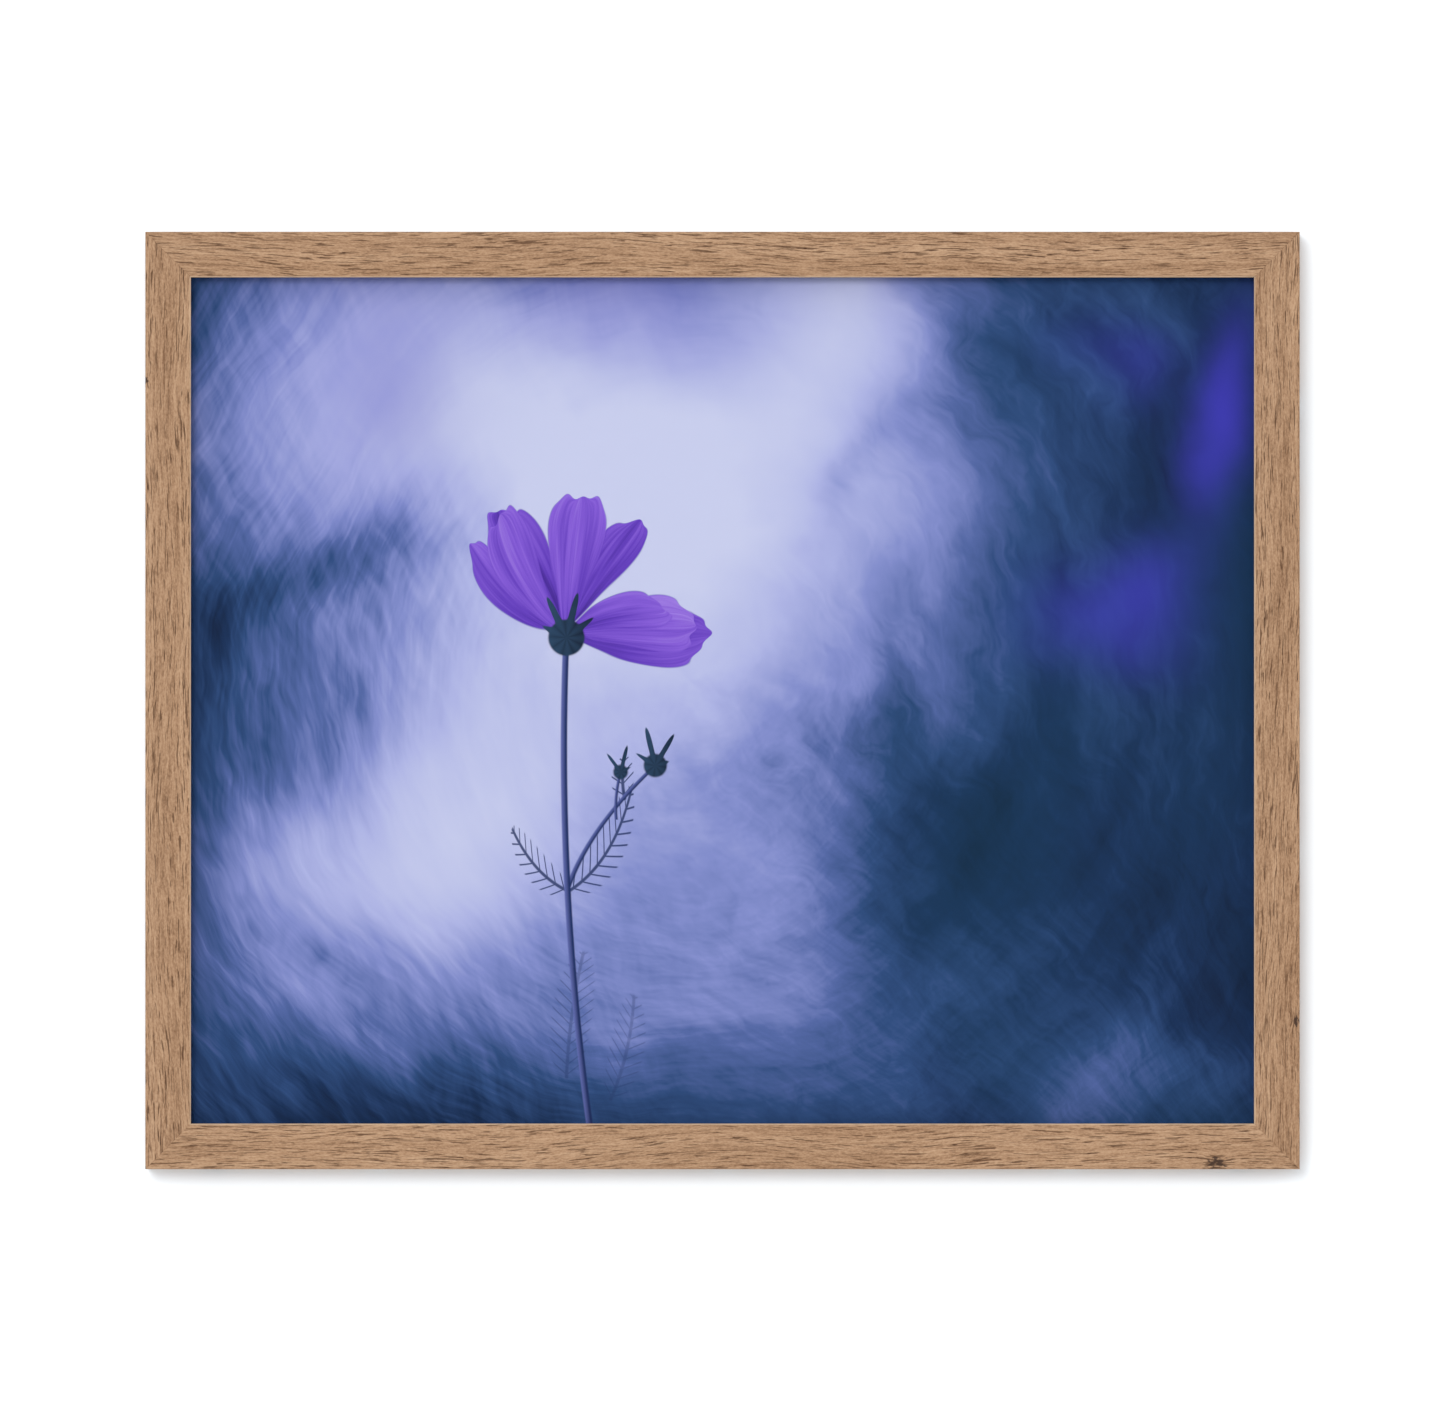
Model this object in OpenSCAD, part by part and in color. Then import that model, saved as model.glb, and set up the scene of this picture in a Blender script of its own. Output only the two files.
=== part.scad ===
// Glazed oak gallery frame with its picture pack, turn buttons and wall hangers.
// The frame stands upright: X runs along its width, Z is up and the picture faces -Y.
// The origin is on the wall plane, behind the centre of the picture.
// Left and right are named as seen from the front.

/* [Picture] */
// Width of the framed print
picture_w = 500; // [450:10:700]
// Height of the framed print
picture_h = 400; // [380:10:600]

/* [Moulding] */
// Width of the moulding's front face
face_w = 21; // [19:0.5:30]
// Depth of the moulding from its front face to its back
moulding_d = 23; // [22.5:0.5:32]
// Thickness of the lip in front of the glazing
lip_t = 6; // [4:0.5:7]
// Width of the rebate that the pack lies in
rebate_w = 6; // [5:0.5:6.5]
// Size of the small chamfer along the moulding's edges
arris = 0.5; // [0.2:0.1:1]

/* [Picture pack] */
// Thickness of the clear glazing
glazing_t = 2; // [1.5:0.5:3]
// Depth of the spacers that hold the print off the glazing
spacer_d = 5; // [3:0.5:6]
// Width of the spacers, hidden behind the lip
spacer_w = 4; // [3:0.5:4]
// Thickness of the backing board
backing_t = 3; // [2:0.5:3]

/* [Back fittings] */
// Distance of the outer turn buttons from the centre of the top and bottom rails
button_pitch_x = 160; // [80:5:170]
// Distance of the turn buttons from the centre of the stiles
button_pitch_z = 70; // [50:5:75]
// Height of the D-ring hinge line above the centre of the frame
hanger_z = 140; // [135:5:150]
// Thickness of the wall bumpers
bumper_t = 5; // [5:0.5:8]

/* [Hidden] */
// Room between the pack and the rebate wall, and between the pack and the moulding's back
pack_room = 1;
pack_slack = 0.2;
print_t = 0.3;
mount_board_t = 1.5;

// Outer size of the frame
frame_w = picture_w + 2 * (pack_room + face_w - rebate_w);
frame_h = picture_h + 2 * (pack_room + face_w - rebate_w);

// Depths along Y, from the moulding's back forwards and from the lip backwards
back_y = -bumper_t;
front_y = back_y - moulding_d;
glazing_y = front_y + lip_t;
spacer_y = glazing_y + glazing_t;
print_y = spacer_y + spacer_d;
mount_board_y = print_y + print_t;
foam_y = mount_board_y + mount_board_t;
backing_y = back_y - pack_slack - backing_t;

// Middle of the wood that shows at the back, measured from the outer edge
back_strip = (face_w - rebate_w) / 2;
rail_z = frame_h / 2 - back_strip;
stile_x = frame_w / 2 - back_strip;

// Hinges that hold the print: width, height, thickness, and place along the top edge
hinge_size = [30, 20, 0.15];
hinge_drop = 2;
hinge_x = picture_w / 4;

// V nails across the mitres: wing length and thickness, depth, and distances from the corner
nail_wing = 4.5;
nail_t = 0.5;
nail_depth = 10;
nail_sunk = 0.3;
nail_places = [4.5, 10.5];
nail_spread = 50;

// Screws: radii of head, shank, thread and core, height of the head, and length in the wood
head_r = 3.3;
head_h = 1.8;
shank_r = 1.75;
thread_r = 1.7;
core_r = 1.2;
thread_pitch = 1.6;
screw_in_wood = 12;
tip_l = 2;
cross_recess = [4, 0.8, 1];

// Turn buttons: radii at the pivot and at both ends, lengths of the arm and tail
button_t = 1.1;
button_air = 0.05;
button_hole_r = shank_r + 0.05;
pivot_end_r = 5.5;
arm_end_r = 3.6;
arm_l = 16;
tail_end_r = 2.6;
tail_l = 4;
bead_r = 1.2;
bead_rise = 0.5;

// Hangers: folded strap, knuckle round the ring's bar, and ring of round wire
strap_w = 8;
strap_t = 1.6;
strap_holes = [20, 32];
strap_l = 35;
wire_r = 1;
knuckle_bore_r = wire_r + 0.05;
knuckle_r = 1.85;
ring_half_w = 6;
ring_elbow_r = 1.5;
ring_leg = 3.5;
ring_rest_tilt = 5;
knuckle_y = back_y + knuckle_r;

// Wall bumpers
bumper_r = 5;
bumper_inset = 30;
bumper_x = frame_w / 2 - bumper_inset;
bumper_edge = 0.8;

// Each turn button: its node's name, pivot place in X and Z, and turn that points the arm inward
BUTTONS = [
    ["turn_button_top_left", -button_pitch_x, rail_z, 90],
    ["turn_button_top_centre", 0, rail_z, 90],
    ["turn_button_top_right", button_pitch_x, rail_z, 90],
    ["turn_button_bottom_left", -button_pitch_x, -rail_z, -90],
    ["turn_button_bottom_centre", 0, -rail_z, -90],
    ["turn_button_bottom_right", button_pitch_x, -rail_z, -90],
    ["turn_button_left_upper", -stile_x, button_pitch_z, 0],
    ["turn_button_left_lower", -stile_x, -button_pitch_z, 0],
    ["turn_button_right_upper", stile_x, button_pitch_z, 180],
    ["turn_button_right_lower", stile_x, -button_pitch_z, 180],
];
// Each corner's V nails: the node's name and the corner's sides in X and Z
CORNERS = [
    ["v_nails_top_left", -1, 1],
    ["v_nails_top_right", 1, 1],
    ["v_nails_bottom_left", -1, -1],
    ["v_nails_bottom_right", 1, -1],
];

$fn = 48;
oak = [0.68, 0.54, 0.43];
zinc = [0.78, 0.78, 0.76];
nickel = [0.72, 0.71, 0.68];
clear = [0.86, 0.92, 0.94, 0.25];
charcoal = [0.16, 0.16, 0.17];

// Helpers

// A flat outline in X and Z, made solid from y0 to y1
module slab(y0, y1) {
    translate([0, y1, 0]) rotate([90, 0, 0]) linear_extrude(y1 - y0) children();
}

// A shape turned about Z, set with its axis along Y at x, z
module along_y(x, y, z) {
    translate([x, y, z]) rotate([-90, 0, 0]) children();
}

// The outline of a plate that narrows from a round end of radius r0 to one of radius r1.
// Its straight sides start a little inside the round ends, so that they cross the rounds cleanly.
module tapered_link(r0, r1, length) {
    side_in = 0.05;
    a = acos((r0 - r1) / length);
    s0 = (r0 - side_in) * [cos(a), sin(a)];
    s1 = (r1 - side_in) * [cos(a), sin(a)] + [length, 0];
    circle(r0);
    translate([length, 0]) circle(r1);
    polygon([s0, s1, [s1[0], -s1[1]], [s0[0], -s0[1]]]);
}

// Oak moulding

// The moulding's section: X from the outer edge inward, Y as in the frame
module moulding_section() {
    inner = face_w - rebate_w;
    polygon([
        [0, front_y + arris],
        [arris, front_y],
        [face_w - arris, front_y],
        [face_w, front_y + arris],
        [face_w, glazing_y],
        [inner, glazing_y],
        [inner, back_y],
        [arris, back_y],
        [0, back_y - arris],
    ]);
}

// One mitred length along X, with its outer edge at z = reach
module mitred_length(length, reach) {
    over = 1;
    half = length / 2;
    intersection() {
        translate([-half - over, 0, reach]) rotate([0, 90, 0]) linear_extrude(length + 2 * over)
            moulding_section();
        slab(front_y - over, back_y + over) polygon([
            [-half - over, reach + over],
            [half + over, reach + over],
            [half - face_w - over, reach - face_w - over],
            [-half + face_w + over, reach - face_w - over],
        ]);
    }
}

// One side of the frame, turned to its place, with its nail slots and screw holes
module frame_side(turn, length, reach) {
    color(oak) difference() {
        rotate([0, turn, 0]) mitred_length(length, reach);
        for (c = CORNERS) v_nails(c, back_y + 1);
        for (b = BUTTONS) pilot_hole(b[1], b[2]);
        for (side = [-1, 1], drop = strap_holes) pilot_hole(side * stile_x, hanger_z - drop);
    }
}

module top_rail() { frame_side(0, frame_w, frame_h / 2); }
module right_stile() { frame_side(90, frame_h, frame_w / 2); }
module bottom_rail() { frame_side(180, frame_w, frame_h / 2); }
module left_stile() { frame_side(270, frame_h, frame_w / 2); }

// Corner nails

// The two V nails of a corner, from their driven depth up to y = top
module v_nails(corner, top = back_y - nail_sunk) {
    inward = atan2(-corner[2], -corner[1]);
    for (d = nail_places)
        slab(back_y - nail_depth, top)
            translate([corner[1] * (frame_w / 2 - d), corner[2] * (frame_h / 2 - d)])
                rotate(inward)
                    for (s = [-1, 1]) rotate(s * nail_spread)
                        translate([0, -nail_t / 2]) square([nail_wing, nail_t]);
}

// Picture pack

module glazing() {
    color(clear) slab(glazing_y, spacer_y) square([picture_w, picture_h], center = true);
}

// A spacer along the top (side 1) or bottom (side -1) edge
module spacer_row(side) {
    color(charcoal) slab(spacer_y, print_y)
        translate([0, side * (picture_h - spacer_w) / 2])
            square([picture_w, spacer_w], center = true);
}

// A spacer down the right (side 1) or left (side -1) edge, between the other two
module spacer_column(side) {
    color(charcoal) slab(spacer_y, print_y)
        translate([side * (picture_w - spacer_w) / 2, 0])
            square([spacer_w, picture_h - 2 * spacer_w], center = true);
}

module art_print() {
    color([0.42, 0.45, 0.68]) slab(print_y, mount_board_y)
        square([picture_w, picture_h], center = true);
}

// The outlines of the two paper hinges
module hinge_outlines() {
    for (side = [-1, 1])
        translate([side * hinge_x, picture_h / 2 - hinge_drop - hinge_size[1] / 2])
            square([hinge_size[0], hinge_size[1]], center = true);
}

module print_hinges() {
    color("ivory") slab(mount_board_y, mount_board_y + hinge_size[2]) hinge_outlines();
}

module mount_board() {
    color("ivory") difference() {
        slab(mount_board_y, foam_y) square([picture_w, picture_h], center = true);
        slab(mount_board_y - 1, mount_board_y + hinge_size[2]) hinge_outlines();
    }
}

// The foam board fills what depth the rest of the pack leaves
module foam_board() {
    color("whitesmoke") slab(foam_y, backing_y) square([picture_w, picture_h], center = true);
}

module backing_board() {
    color([0.55, 0.42, 0.3]) slab(backing_y, backing_y + backing_t)
        square([picture_w, picture_h], center = true);
}

// Screws

// A pan-head wood screw along Z: the underside of its head is at 0, the wood starts at -grip
module wood_screw(grip) {
    thread_l = screw_in_wood - tip_l;
    turns = floor(thread_l / thread_pitch);
    color(zinc) difference() {
        rotate_extrude() polygon(concat(
            [[0, head_h], [0.6 * head_r, head_h], [0.9 * head_r, 0.75 * head_h]],
            [[head_r, 0.35 * head_h], [head_r, 0], [shank_r, 0], [shank_r, -grip]],
            [for (i = [0:turns - 1], p = [0, 1, 2])
                [p == 1 ? thread_r : core_r, -grip - thread_pitch * (i + 0.3 * p)]],
            [[core_r, -grip - thread_l], [0, -grip - screw_in_wood]]
        ));
        for (a = [45, 135]) rotate(a) translate([0, 0, head_h])
            cube([cross_recess[0], cross_recess[1], 2 * cross_recess[2]], center = true);
    }
}

// The hole that a screw's core fills
module pilot_hole(x, z) {
    along_y(x, back_y - screw_in_wood, z) cylinder(r = core_r, h = screw_in_wood + 1);
}

module turn_button_screws() {
    grip = button_t + 2 * button_air;
    for (b = BUTTONS) along_y(b[1], back_y + grip, b[2]) wood_screw(grip);
}

module hanger_screws() {
    for (side = [-1, 1], drop = strap_holes)
        along_y(side * stile_x, back_y + strap_t, hanger_z - drop) wood_screw(strap_t);
}

// Turn buttons

// A stamped steel button with a raised bead along its arm, which points to +X before turning
module turn_button(place) {
    y0 = back_y + button_air;
    color(nickel) translate([place[1], 0, place[2]]) rotate([0, place[3], 0]) {
        slab(y0, y0 + button_t) difference() {
            union() {
                tapered_link(pivot_end_r, arm_end_r, arm_l);
                mirror([1, 0]) tapered_link(pivot_end_r, tail_end_r, tail_l);
            }
            circle(button_hole_r);
        }
        slab(y0 + button_t - 0.1, y0 + button_t + bead_rise)
            translate([pivot_end_r + bead_r, 0])
                tapered_link(bead_r, 0.8 * bead_r, arm_l - pivot_end_r - bead_r);
    }
}

// Hangers

// A folded strap that holds the ring in its knuckle and is screwed to the stile
module hanger_strap(side) {
    color(zinc) translate([side * stile_x, 0, hanger_z]) difference() {
        union() {
            slab(back_y, back_y + strap_t) {
                translate([-strap_w / 2, -strap_l]) square([strap_w, strap_l]);
                translate([0, -strap_l]) circle(strap_w / 2);
            }
            translate([-strap_w / 2, knuckle_y, 0]) rotate([0, 90, 0])
                cylinder(r = knuckle_r, h = strap_w);
        }
        translate([-strap_w / 2 - 1, knuckle_y, 0]) rotate([0, 90, 0])
            cylinder(r = knuckle_bore_r, h = strap_w + 2);
        for (drop = strap_holes)
            along_y(0, back_y - 1, -drop) cylinder(r = shank_r + 0.05, h = strap_t + 2);
    }
}

// A ring of round wire that hangs down over its strap, just clear of it
module d_ring(side) {
    bar = ring_half_w - ring_elbow_r;
    bow_z = -ring_elbow_r - ring_leg;
    color(zinc) translate([side * stile_x, knuckle_y, hanger_z]) rotate([ring_rest_tilt, 0, 0]) {
        translate([-bar, 0, 0]) rotate([0, 90, 0]) cylinder(r = wire_r, h = 2 * bar);
        for (s = [-1, 1]) mirror([s < 0 ? 1 : 0, 0, 0]) {
            translate([bar, 0, -ring_elbow_r]) rotate([90, 0, 0])
                rotate_extrude(angle = 90) translate([ring_elbow_r, 0]) circle(wire_r);
            translate([ring_half_w, 0, bow_z]) cylinder(r = wire_r, h = ring_leg);
        }
        translate([0, 0, bow_z]) rotate([90, 0, 0])
            rotate_extrude(angle = -180) translate([ring_half_w, 0]) circle(wire_r);
    }
}

// Bumpers

// A soft round bumper that holds the frame's foot off the wall
module wall_bumper(side) {
    color([0.2, 0.2, 0.21]) along_y(side * bumper_x, back_y, -rail_z) rotate_extrude() polygon([
        [0, 0], [bumper_r, 0], [bumper_r, bumper_t - bumper_edge],
        [bumper_r - bumper_edge, bumper_t], [0, bumper_t],
    ]);
}

top_rail();
bottom_rail();
left_stile();
right_stile();
for (c = CORNERS) color("silver") v_nails(c);
glazing();
spacer_row(1);  // spacer_top
spacer_row(-1);  // spacer_bottom
spacer_column(-1);  // spacer_left
spacer_column(1);  // spacer_right
art_print();
print_hinges();
mount_board();
foam_board();
backing_board();
for (b = BUTTONS) turn_button(b);
turn_button_screws();
hanger_strap(-1);  // hanger_strap_left
hanger_strap(1);  // hanger_strap_right
d_ring(-1);  // d_ring_left
d_ring(1);  // d_ring_right
hanger_screws();
wall_bumper(-1);  // wall_bumper_left
wall_bumper(1);  // wall_bumper_right
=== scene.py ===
"""Looks for the oak gallery frame: mouldings, print, glazing, back fittings, materials and studio.

All lengths are in metres, in the row frame: X along the frame's width, Z up, the picture facing -Y
and the wall at y = 0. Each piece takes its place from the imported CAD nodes.
"""
from math import acos, atan2, cos, pi, radians, sin, sqrt

import bmesh
import bpy
from mathutils import Matrix, Vector


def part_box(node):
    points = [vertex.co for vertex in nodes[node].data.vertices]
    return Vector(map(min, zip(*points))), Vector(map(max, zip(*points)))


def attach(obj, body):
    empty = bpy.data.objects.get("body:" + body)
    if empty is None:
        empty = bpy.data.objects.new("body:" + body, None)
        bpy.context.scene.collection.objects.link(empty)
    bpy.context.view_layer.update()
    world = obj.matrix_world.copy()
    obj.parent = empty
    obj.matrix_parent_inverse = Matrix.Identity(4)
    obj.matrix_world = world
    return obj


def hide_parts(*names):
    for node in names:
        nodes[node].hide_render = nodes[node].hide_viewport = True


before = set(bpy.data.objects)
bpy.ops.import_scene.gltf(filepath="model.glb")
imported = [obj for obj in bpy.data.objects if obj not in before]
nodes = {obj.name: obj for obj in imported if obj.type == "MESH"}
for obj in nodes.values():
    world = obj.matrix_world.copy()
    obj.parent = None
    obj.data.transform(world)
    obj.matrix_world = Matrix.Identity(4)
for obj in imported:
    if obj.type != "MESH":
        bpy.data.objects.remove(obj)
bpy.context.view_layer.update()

MM = 0.001

# Places taken from the CAD nodes

rail_low, rail_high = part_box("top_rail")
stile_low, stile_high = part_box("left_stile")
glazing_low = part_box("glazing")[0]
board_low, board_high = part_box("backing_board")
OUTER_W = rail_high.x - rail_low.x
OUTER_H = stile_high.z - stile_low.z
FACE_W = rail_high.z - rail_low.z
FRONT_Y, BACK_Y = rail_low.y, rail_high.y
LIP_BACK_Y = glazing_low.y
# How far the lip reaches over the pack, with the room round the pack
REBATE_W = 6 * MM
SIGHT_W = OUTER_W - 2 * FACE_W
SIGHT_H = OUTER_H - 2 * FACE_W

# Brightness of a white surface that faces the room, set by the world and the key light below
LIT = 1.42


def srgb(red, green, blue, lit=LIT):
    """The surface colour that shows as this 0 to 255 colour under the studio light."""
    def linear(value):
        share = value / 255
        return share / 12.92 if share <= 0.04045 else ((share + 0.055) / 1.055) ** 2.4
    return tuple(linear(v) / lit for v in (red, green, blue)) + (1.0,)


# Numbers that vary over a surface


class Num:
    """A number at each point of a surface. Arithmetic on it adds Math nodes to its node tree."""

    def __init__(self, tree, socket):
        self.tree, self.socket = tree, socket

    def math(self, operation, *others):
        return math_node(self.tree, operation, self, *others)

    def __add__(self, other):
        return self.math("ADD", other)

    def __radd__(self, other):
        return self.math("ADD", other)

    def __sub__(self, other):
        return self.math("SUBTRACT", other)

    def __rsub__(self, other):
        return math_node(self.tree, "SUBTRACT", other, self)

    def __mul__(self, other):
        return self.math("MULTIPLY", other)

    def __rmul__(self, other):
        return self.math("MULTIPLY", other)

    def __truediv__(self, other):
        return self.math("DIVIDE", other)

    def __pow__(self, other):
        return self.math("POWER", other)

    def __neg__(self):
        return self.math("MULTIPLY", -1)

    def __abs__(self):
        return self.math("ABSOLUTE")


def feed(tree, socket, value):
    """Links a Num to an input socket, or sets a plain value on it."""
    if isinstance(value, Num):
        tree.links.new(value.socket, socket)
    else:
        socket.default_value = value


def math_node(tree, operation, *values):
    node = tree.nodes.new("ShaderNodeMath")
    node.operation = operation
    for socket, value in zip(node.inputs, values):
        feed(tree, socket, value)
    return Num(tree, node.outputs[0])


def wave(x):
    return x.math("SINE")


def root(x):
    return x.math("MAXIMUM", 0).math("SQRT")


def bell(x):
    """exp(-x): 1 at x = 0, falling to 0."""
    return (-x).math("EXPONENT")


def step(x, low, high):
    """0 below low, 1 above high, smooth between. With low above high it falls."""
    node = x.tree.nodes.new("ShaderNodeMapRange")
    node.interpolation_type = "SMOOTHSTEP"
    feed(x.tree, node.inputs["Value"], x)
    feed(x.tree, node.inputs["From Min"], low)
    feed(x.tree, node.inputs["From Max"], high)
    return Num(x.tree, node.outputs["Result"])


def at(x, y, z=0.0):
    """A point made of three numbers, as a socket that a texture can read."""
    tree = next(v.tree for v in (x, y, z) if isinstance(v, Num))
    node = tree.nodes.new("ShaderNodeCombineXYZ")
    for socket, value in zip(node.inputs, (x, y, z)):
        feed(tree, socket, value)
    return Num(tree, node.outputs[0])


def noise(point, scale=1.0, detail=2.0, rough=0.5):
    """Smooth noise from 0 to 1, about 0.5 on average."""
    node = point.tree.nodes.new("ShaderNodeTexNoise")
    feed(point.tree, node.inputs["Vector"], point)
    node.inputs["Scale"].default_value = scale
    node.inputs["Detail"].default_value = detail
    node.inputs["Roughness"].default_value = rough
    return Num(point.tree, node.outputs[0])


def ramp(x, stops):
    """A colour that runs through (position, colour) stops as x goes from 0 to 1."""
    node = x.tree.nodes.new("ShaderNodeValToRGB")
    feed(x.tree, node.inputs[0], x)
    band = node.color_ramp
    while len(band.elements) < len(stops):
        band.elements.new(0.5)
    for element, (position, colour) in zip(band.elements, stops):
        element.position = position
        element.color = colour
    return Num(x.tree, node.outputs[0])


def blend_colour(share, under, over):
    """Colour under where share is 0, and colour over where it is 1."""
    node = share.tree.nodes.new("ShaderNodeMix")
    node.data_type = "RGBA"
    feed(share.tree, node.inputs[0], share)
    feed(share.tree, node.inputs[6], under)
    feed(share.tree, node.inputs[7], over)
    return Num(share.tree, node.outputs[2])


class Surface:
    """A new material with one Principled shader, and the object's own coordinates."""

    def __init__(self, name, metallic=0.0, roughness=0.5, specular=0.5):
        self.material = bpy.data.materials.new(name)
        self.material.use_nodes = True
        self.tree = self.material.node_tree
        self.shader = self.tree.nodes["Principled BSDF"]
        self.shader.inputs["Metallic"].default_value = metallic
        self.shader.inputs["Roughness"].default_value = roughness
        self.shader.inputs["Specular IOR Level"].default_value = specular

    def place(self):
        """x, y and z on the object."""
        coordinates = self.tree.nodes.new("ShaderNodeTexCoord")
        split = self.tree.nodes.new("ShaderNodeSeparateXYZ")
        self.tree.links.new(coordinates.outputs["Object"], split.inputs[0])
        return [Num(self.tree, socket) for socket in split.outputs]

    def set(self, name, value):
        feed(self.tree, self.shader.inputs[name], value)

    def relief(self, height, depth, strength=1.0):
        """Bump: height runs from 0 to 1 over this depth."""
        bump = self.tree.nodes.new("ShaderNodeBump")
        bump.inputs["Strength"].default_value = strength
        bump.inputs["Distance"].default_value = depth
        feed(self.tree, bump.inputs["Height"], height)
        self.tree.links.new(bump.outputs[0], self.shader.inputs["Normal"])


# Oak

OAK_DARK = srgb(131, 92, 60)
OAK_MID = srgb(181, 142, 108)
OAK_LIGHT = srgb(209, 171, 136)
OAK_PORE = srgb(74, 43, 24)
# Pale colour of the painted highlight, with worn finish, on the front arris round the picture
OAK_WEAR_AND_HIGHLIGHT = srgb(232, 206, 178)
OAK_KNOT = srgb(62, 42, 32)
# How far the grain wanders sideways, in broad sweeps and in small kinks
SWEEP, KINK = 12 * MM, 1.7 * MM
# Marks per metre of each layer of the grain, along it and across it
GRAIN = {
    "bands": (5, 130),
    "fibre": (48, 800),
    "hair": (140, 2900),
    "dash": (105, 2000),
    "tick": (230, 1900),
    "grit": (620, 1500),
}
KNOT_STRETCH, KNOT_DEPTH = 1.8, 3


def oak(name, along_axis, seed, slope, knots):
    """Light oak with its grain along one axis. knots are (along, across, size) in metres."""
    skin = Surface(name, roughness=0.6, specular=0.2)
    x, y, z = skin.place()
    along, across = (x, z) if along_axis == "x" else (z, x)
    sweeps = noise(at(along * 9, across * 30, y * 30 + seed), detail=1) - 0.5
    kinks = noise(at(along * 45, across * 160, y * 160 + seed)) - 0.5
    drift = across + along * slope + sweeps * SWEEP + kinks * KINK
    dark_knot = 0.0
    for knot_along, knot_across, size in knots:
        da = (along - knot_along) / (KNOT_STRETCH * size)
        dc = (across - knot_across) / size
        dy = (y - FRONT_Y) / (KNOT_DEPTH * size)
        near = bell(da * da + dc * dc + dy * dy)
        # The grain bends round the knot
        drift = drift + near * dc * size * 1.1
        dark_knot = near + dark_knot
    deep = y * 0.9 + seed

    def layer(kind, shift=0.0, detail=2.0, rough=0.5):
        """One layer of streaks, from -0.5 to 0.5."""
        lengthwise, crosswise = GRAIN[kind]
        point = at(along * lengthwise, drift * crosswise, deep * crosswise + shift)
        return noise(point, detail=detail, rough=rough) - 0.5

    bands = layer("bands")
    fibre = layer("fibre", detail=3, rough=0.62)
    hair = layer("hair", detail=3, rough=0.6)
    dash = layer("dash", 9, detail=1, rough=0.45)
    tick = layer("tick", 4, detail=1)
    grit = layer("grit", 2, rough=0.7)
    torn = hair * 0.2 - fibre * 0.1 + bands * 0.16
    pores = step(dash + torn + dark_knot * 0.1, 0.105, 0.15)
    ticks = step(tick + bands * 0.2, 0.12, 0.2)
    tone = 0.5 + fibre + bands * 0.62 + hair * 0.75 + grit * 0.85
    colour = ramp(tone, [(0.1, OAK_DARK), (0.5, OAK_MID), (0.9, OAK_LIGHT)])
    colour = blend_colour(pores * 0.72 + ticks * 0.3, colour, OAK_PORE)
    if knots:
        core = noise(at(along * 500, across * 800, y * 600), detail=3) - 0.5
        rings = step(dark_knot + core * 1.6, 0.62, 0.9)
        colour = blend_colour(rings * 0.88, colour, OAK_KNOT)
    # A pale line along the front arris round the picture: painted highlight where the rounded edge catches
    # the light, with some worn finish
    half_sight = SIGHT_H / 2 if along_axis == "x" else SIGHT_W / 2
    at_picture = step(abs(across) - half_sight, 0.75 * MM, 0.15 * MM)
    at_front = step(y - FRONT_Y, 1.0 * MM, 0.4 * MM)
    colour = blend_colour(at_picture * at_front * 0.6, colour, OAK_WEAR_AND_HIGHLIGHT)
    skin.set("Base Color", colour)
    skin.set("Roughness", 0.56 + pores * 0.2 + fibre * 0.18)
    skin.relief(tone * 0.35 - pores * 0.5 - ticks * 0.2, 0.12 * MM, 0.55)
    return skin.material


# The print: a violet flower before a blurred blue garden. u and v are decimetres from its middle

DECIMETRE = 0.1

# The print lies in a recess, and shows through the glazing
INK_LIT = LIT * 1.1


def ink(red, green, blue):
    """The print's colour that shows as this 0 to 255 colour."""
    return srgb(red, green, blue, INK_LIT)


def mixed(share, under, over):
    """The number under where share is 0, and over where it is 1."""
    return under + (over - under) * share


def glow(u, v, centre, radius, turn=0.0):
    """A soft oval spot, 1 at its centre."""
    du, dv = u - centre[0], v - centre[1]
    a = (du * cos(turn) + dv * sin(turn)) / radius[0]
    b = (dv * cos(turn) - du * sin(turn)) / radius[1]
    return bell(a * a + b * b)


def round_middle(u, v, middle):
    """Distance from a middle, and the direction to the point as two parts of a unit vector."""
    du, dv = u - middle[0], v - middle[1]
    reach = root(du * du + dv * dv)
    return reach, du / (reach + 0.05), dv / (reach + 0.05)


# Soft ovals of the ground: centre, radii, turn in radians and strength
PALE_SPOTS = [
    ((-0.45, 1.0), (1.2, 1.05), 0.4, 0.8),
    ((-1.35, -0.7), (0.95, 0.8), 0.9, 0.66),
    ((-1.85, 1.45), (0.8, 0.7), 0.2, 0.5),
    ((0.6, 1.9), (0.5, 0.7), -0.3, 0.42),
    ((0.15, -0.4), (0.85, 0.95), 0.1, 0.36),
    ((0.1, -1.45), (1.2, 0.4), 0.1, 0.21),
    ((1.9, -1.7), (0.5, 0.24), 0.3, 0.2),
    ((0.95, 0.6), (0.55, 0.65), 0.5, 0.22),
    ((-1.0, 1.6), (0.5, 0.4), 0.0, 0.1),
]
DARK_SPOTS = [
    ((1.25, -0.75), (0.8, 0.65), 0.5, 0.2),
    ((2.1, 1.1), (0.6, 0.8), 0.0, 0.16),
    ((-2.4, -0.1), (0.36, 0.9), 0.1, 0.12),
    ((-1.65, 0.75), (0.5, 0.22), 0.35, 0.29),
    ((2.3, -1.3), (0.5, 0.6), 0.0, 0.12),
    ((-1.35, -1.8), (0.8, 0.3), 0.1, 0.2),
    ((0.55, 0.95), (0.3, 0.12), 0.9, 0.12),
]
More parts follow.
